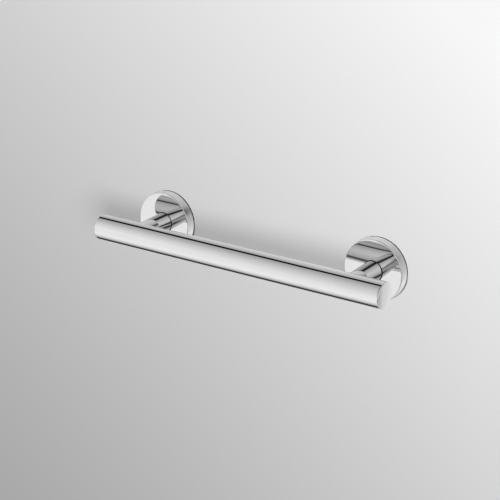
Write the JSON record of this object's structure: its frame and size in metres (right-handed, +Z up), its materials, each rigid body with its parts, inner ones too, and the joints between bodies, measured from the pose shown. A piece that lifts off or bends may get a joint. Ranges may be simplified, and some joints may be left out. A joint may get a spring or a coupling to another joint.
{
  "type": "grab bar",
  "caption": "Straight round chrome grab bar on two tapered posts with round cover flanges over plates screwed to a wall.",
  "frame": {"origin": "on the wall plane, midway between the two posts and level with the rail's axis", "axes": "+X along the rail to the right as seen from the room, +Y into the wall, +Z up"},
  "size_m": [0.4064, 0.0902, 0.0762],
  "materials": {
    "chrome": "polished",
    "plate_steel": "turned",
    "bolt_steel": "zinc plated",
    "nut_brass": "turned",
    "black_rubber": "matte"
  },
  "bodies": {
    "root": {"rail_tube": "chrome", "end_cap_left": "chrome", "end_cap_right": "chrome", "post_left": "chrome", "post_right": "chrome", "cover_flange_left": "chrome", "cover_flange_right": "chrome", "mounting_plate_left": "plate_steel", "mounting_plate_right": "plate_steel", "post_bolt_left": "bolt_steel", "post_bolt_right": "bolt_steel", "lock_washer_left": "bolt_steel", "lock_washer_right": "bolt_steel", "cover_set_screw_left": "bolt_steel", "cover_set_screw_right": "bolt_steel", "rail_nut_left": "nut_brass", "rail_nut_right": "nut_brass", "cover_ring_left": "black_rubber", "cover_ring_right": "black_rubber", "wall_gasket_left": "black_rubber", "wall_gasket_right": "black_rubber"}
  },
  "joints": []
}
